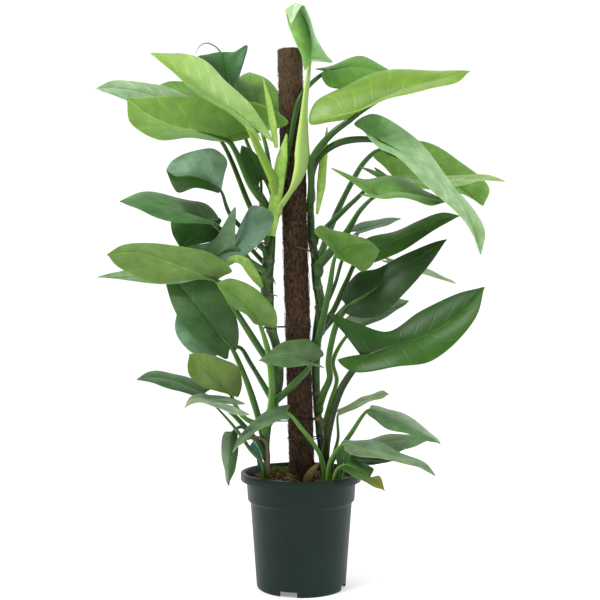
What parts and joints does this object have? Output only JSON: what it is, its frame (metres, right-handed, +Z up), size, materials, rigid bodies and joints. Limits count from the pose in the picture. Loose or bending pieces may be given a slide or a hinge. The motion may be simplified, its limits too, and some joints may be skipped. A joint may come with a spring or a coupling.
{
  "type": "potted climbing philodendron on a coir pole",
  "caption": "Climbing aroid with arrow-shaped silver-green leaves on long stalks, tied to a coir pole in a round dark green nursery pot with soil and a blank label.",
  "frame": {"origin": "centre of the pot underside, on the central foot pad, at the height of the surface the pot stands on", "axes": "+Z up along the pot axis, -Y towards the front of the plant, +X to the right seen from the front"},
  "size_m": [0.6577, 0.2527, 0.9117],
  "materials": {
    "leaf_pale": "waxy",
    "leaf_spring": "waxy",
    "leaf_lime": "waxy",
    "leaf_green": "waxy",
    "leaf_deep": "waxy",
    "leaf_silver": "waxy",
    "stem_green": "waxy",
    "stem_dark": "waxy",
    "sheath_pale": "waxy",
    "bract_green": "waxy",
    "sheath_dry": "dry papery",
    "coir_fibre": "rough fibre",
    "pot_plastic": "satin moulded",
    "label_plastic": "satin",
    "soil": "rough crumbs",
    "tie_wire": "satin coated wire"
  },
  "bodies": {
    "root": {"leaf_left_far_pale": "leaf_pale", "leaf_left_broad": "leaf_spring", "leaf_left_bright": "leaf_lime", "leaf_back_round": "leaf_green", "leaf_left_high_dark": "leaf_deep", "leaf_left_behind": "leaf_spring", "leaf_top_rolled": "leaf_pale", "leaf_right_high_behind": "leaf_green", "leaf_right_broad_lime": "leaf_lime", "leaf_right_drooping": "leaf_silver", "leaf_right_olive": "leaf_green", "leaf_right_level": "leaf_pale", "leaf_right_mid": "leaf_green", "leaf_centre_right": "leaf_spring", "leaf_right_dark_upper": "leaf_deep", "leaf_right_slim": "leaf_silver", "leaf_right_dark_broad": "leaf_deep", "leaf_right_small_pale": "leaf_pale", "leaf_right_grey_fold": "leaf_silver", "leaf_right_low_broad": "leaf_green", "leaf_front_small": "leaf_silver", "leaf_left_near_light": "leaf_spring", "leaf_left_long_light": "leaf_spring", "leaf_left_mid": "leaf_silver", "leaf_left_shaded": "leaf_deep", "leaf_left_two_lobed": "leaf_silver", "leaf_left_folded_grey": "leaf_silver", "leaf_left_inner": "leaf_deep", "leaf_left_low_dark": "leaf_deep", "leaf_left_low_behind": "leaf_pale", "leaf_left_low_light": "leaf_spring", "leaf_left_low_far": "leaf_green", "leaf_left_low_edge": "leaf_silver", "leaf_front_low_pale": "leaf_silver", "leaf_left_hanging": "leaf_green", "leaf_right_low_thin": "leaf_silver", "leaf_right_low_slope": "leaf_silver", "leaf_right_low_front": "leaf_silver", "leaf_right_low_back": "leaf_green", "leaf_right_low_dark": "leaf_deep", "leaf_right_low_torn": "leaf_green", "leaf_right_low_young": "leaf_green", "stem_left": "stem_green", "stem_right": "stem_dark", "sheath_left": "sheath_pale", "sheath_right": "sheath_pale", "new_shoot": "sheath_pale", "bract_curled": "bract_green", "sheath_dried": "sheath_dry", "coir_pole": "coir_fibre", "nursery_pot": "pot_plastic", "plant_label": "label_plastic", "potting_soil": "soil", "tie_left": "tie_wire", "tie_right": "tie_wire", "tie_upper": "tie_wire"}
  },
  "joints": []
}
